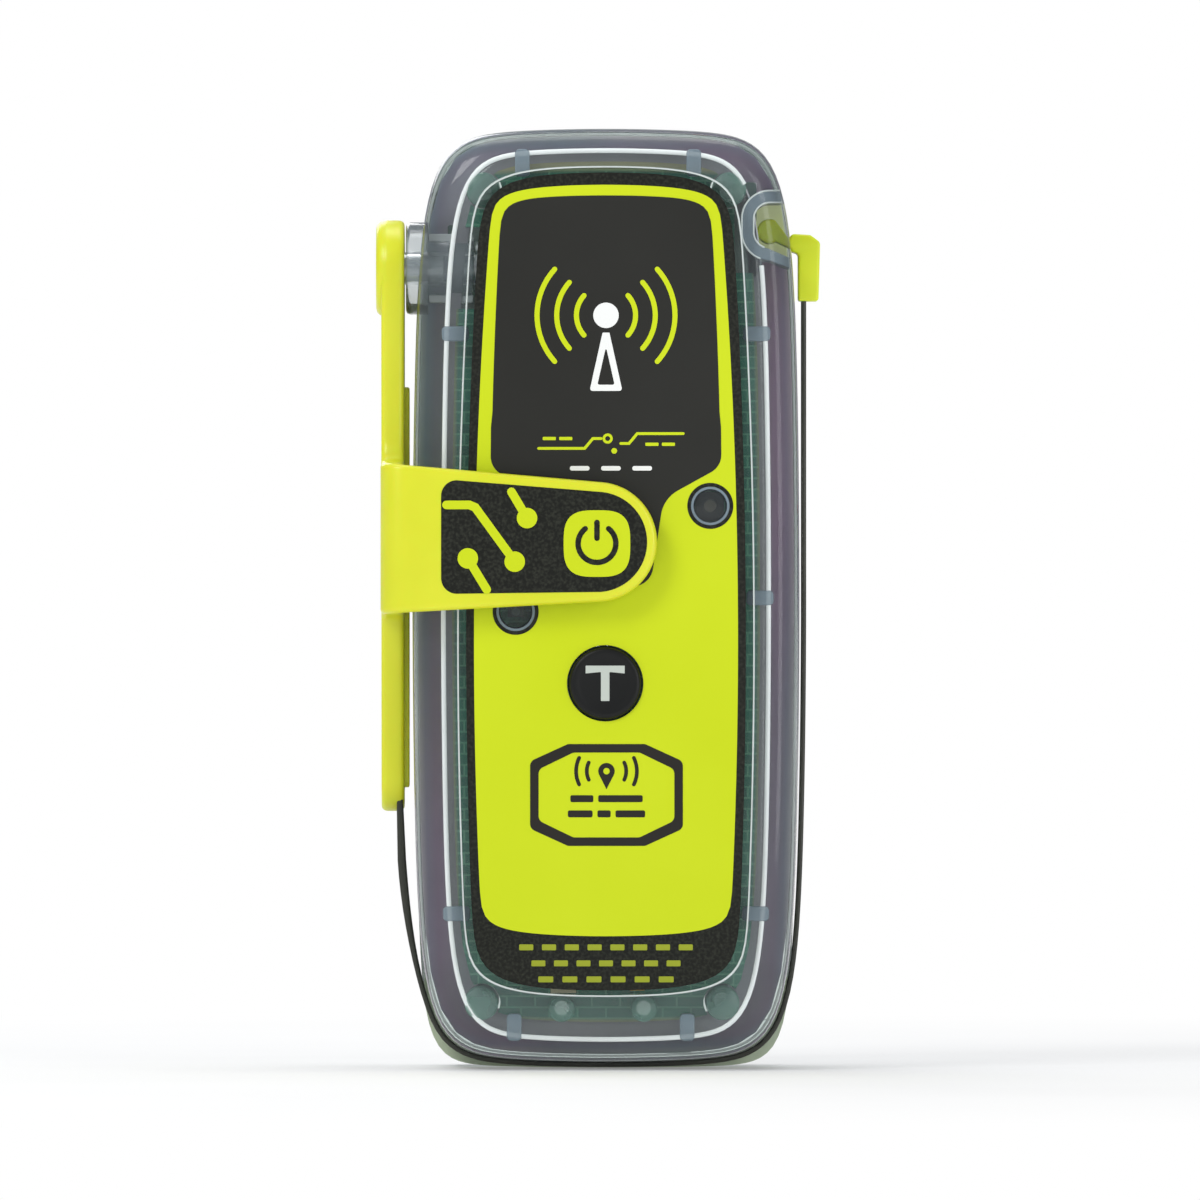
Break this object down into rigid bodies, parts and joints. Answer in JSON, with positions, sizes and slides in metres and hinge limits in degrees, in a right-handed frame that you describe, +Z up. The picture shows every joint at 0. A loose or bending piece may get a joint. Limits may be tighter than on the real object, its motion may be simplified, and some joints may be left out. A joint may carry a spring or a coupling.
{
  "type": "emergency position beacon",
  "caption": "Pocket emergency position beacon: clear case, wrap-round blade antenna on a hinged arm, power button under the arm's flap, test button and battery inside.",
  "frame": {"origin": "centre of the flat back face", "axes": "+Z up along the case's length, +Y out of the back face, +X to the right as seen from the front"},
  "size_m": [0.0543, 0.0379, 0.1148],
  "materials": {
    "clear_front": "clear, polished, faint grey-blue tint",
    "clear_rear": "clear, polished, faint green tint",
    "gasket": "soft silicone, mauve-grey",
    "steel": "stainless, fine brushed",
    "black_rubber": "matt",
    "label": "printed overlay, lime and black, satin",
    "plate": "printed film, satin",
    "button": "black silicone, satin",
    "yellow": "moulded, semi-gloss, fluorescent yellow",
    "black_film": "printed film, satin",
    "blue_rubber": "lightly greased",
    "gold": "gold plated",
    "blade": "black coating over spring steel, satin",
    "board": "green solder mask",
    "ceramic": "fired ceramic with a silvered face",
    "tin": "tinned sheet",
    "copper": "enamelled copper",
    "led": "clear epoxy over a phosphor",
    "switch": "moulded, matt",
    "chip": "fired ceramic",
    "amber": "moulded resin",
    "connector": "nylon",
    "cell": "printed sleeve on a steel can",
    "red_wire": "silicone insulation",
    "black_wire": "silicone insulation",
    "foam": "closed-cell foam"
  },
  "bodies": {
    "case": {"front_shell": "clear_front", "rear_shell": "clear_rear", "case_gasket": "gasket", "case_screws": "steel", "screw_seals": "black_rubber", "front_label": "label", "rear_label": "plate", "button_seals": "black_rubber", "contact_spring": "gold", "main_board": "board", "board_screws": "steel", "gps_patch": "ceramic", "radio_shield": "tin", "processor_shield": "tin", "oscillator": "gold", "matching_coil": "copper", "strobe_led": "led", "status_led": "led", "tact_switches": "switch", "chip_parts": "chip", "tantalum_parts": "amber", "battery_connector": "connector", "battery_cells": "cell", "cell_tabs": "tin", "red_wire": "red_wire", "black_wire": "black_wire", "foam_pad": "foam"},
    "arm": {"antenna_arm": "yellow", "flap_inlay": "black_film", "hinge_shaft": "steel", "hinge_o_rings": "blue_rubber", "hinge_clip": "steel", "blade_root": "blade"},
    "link_1": {"blade_link_1": "blade"},
    "link_2": {"blade_link_2": "blade"},
    "link_3": {"blade_link_3": "blade"},
    "tip": {"blade_link_4": "blade", "tip_clip": "yellow"},
    "test_button": {"test_button": "button"},
    "power_button": {"power_button": "button"}
  },
  "joints": [
    {"name": "arm_swing", "type": "hinge", "parent": "case", "child": "arm", "pos_m": [-0.026, -0.022, 0.0405], "axis": [-1, 0, 0], "range_deg": [0, 180]},
    {"name": "blade_bend_1", "type": "hinge", "parent": "arm", "child": "link_1", "pos_m": [-0.0252, -0.02, -0.04599], "axis": [0, 1, 0], "range_deg": [0, 36.5]},
    {"name": "blade_bend_2", "type": "hinge", "parent": "link_1", "child": "link_2", "pos_m": [-0.01727, -0.02, -0.0569], "axis": [0, 1, 0], "range_deg": [0, 54.5]},
    {"name": "blade_bend_3", "type": "hinge", "parent": "link_2", "child": "link_3", "pos_m": [0.01727, -0.02, -0.0569], "axis": [0, 1, 0], "range_deg": [0, 54.5]},
    {"name": "blade_bend_4", "type": "hinge", "parent": "link_3", "child": "tip", "pos_m": [0.0242, -0.02, -0.04737], "axis": [0, 1, 0], "range_deg": [0, 36.5]},
    {"name": "test_press", "type": "slide", "parent": "case", "child": "test_button", "axis": [0, 1, 0], "range_m": [0, 0.0009]},
    {"name": "power_press", "type": "slide", "parent": "case", "child": "power_button", "axis": [0, 1, 0], "range_m": [0, 0.0009]}
  ],
  "couplings": [
    {"joint": "blade_bend_1", "follows": "arm_swing", "ratio": 0.2},
    {"joint": "blade_bend_2", "follows": "arm_swing", "ratio": 0.3},
    {"joint": "blade_bend_3", "follows": "arm_swing", "ratio": 0.3},
    {"joint": "blade_bend_4", "follows": "arm_swing", "ratio": 0.2}
  ]
}
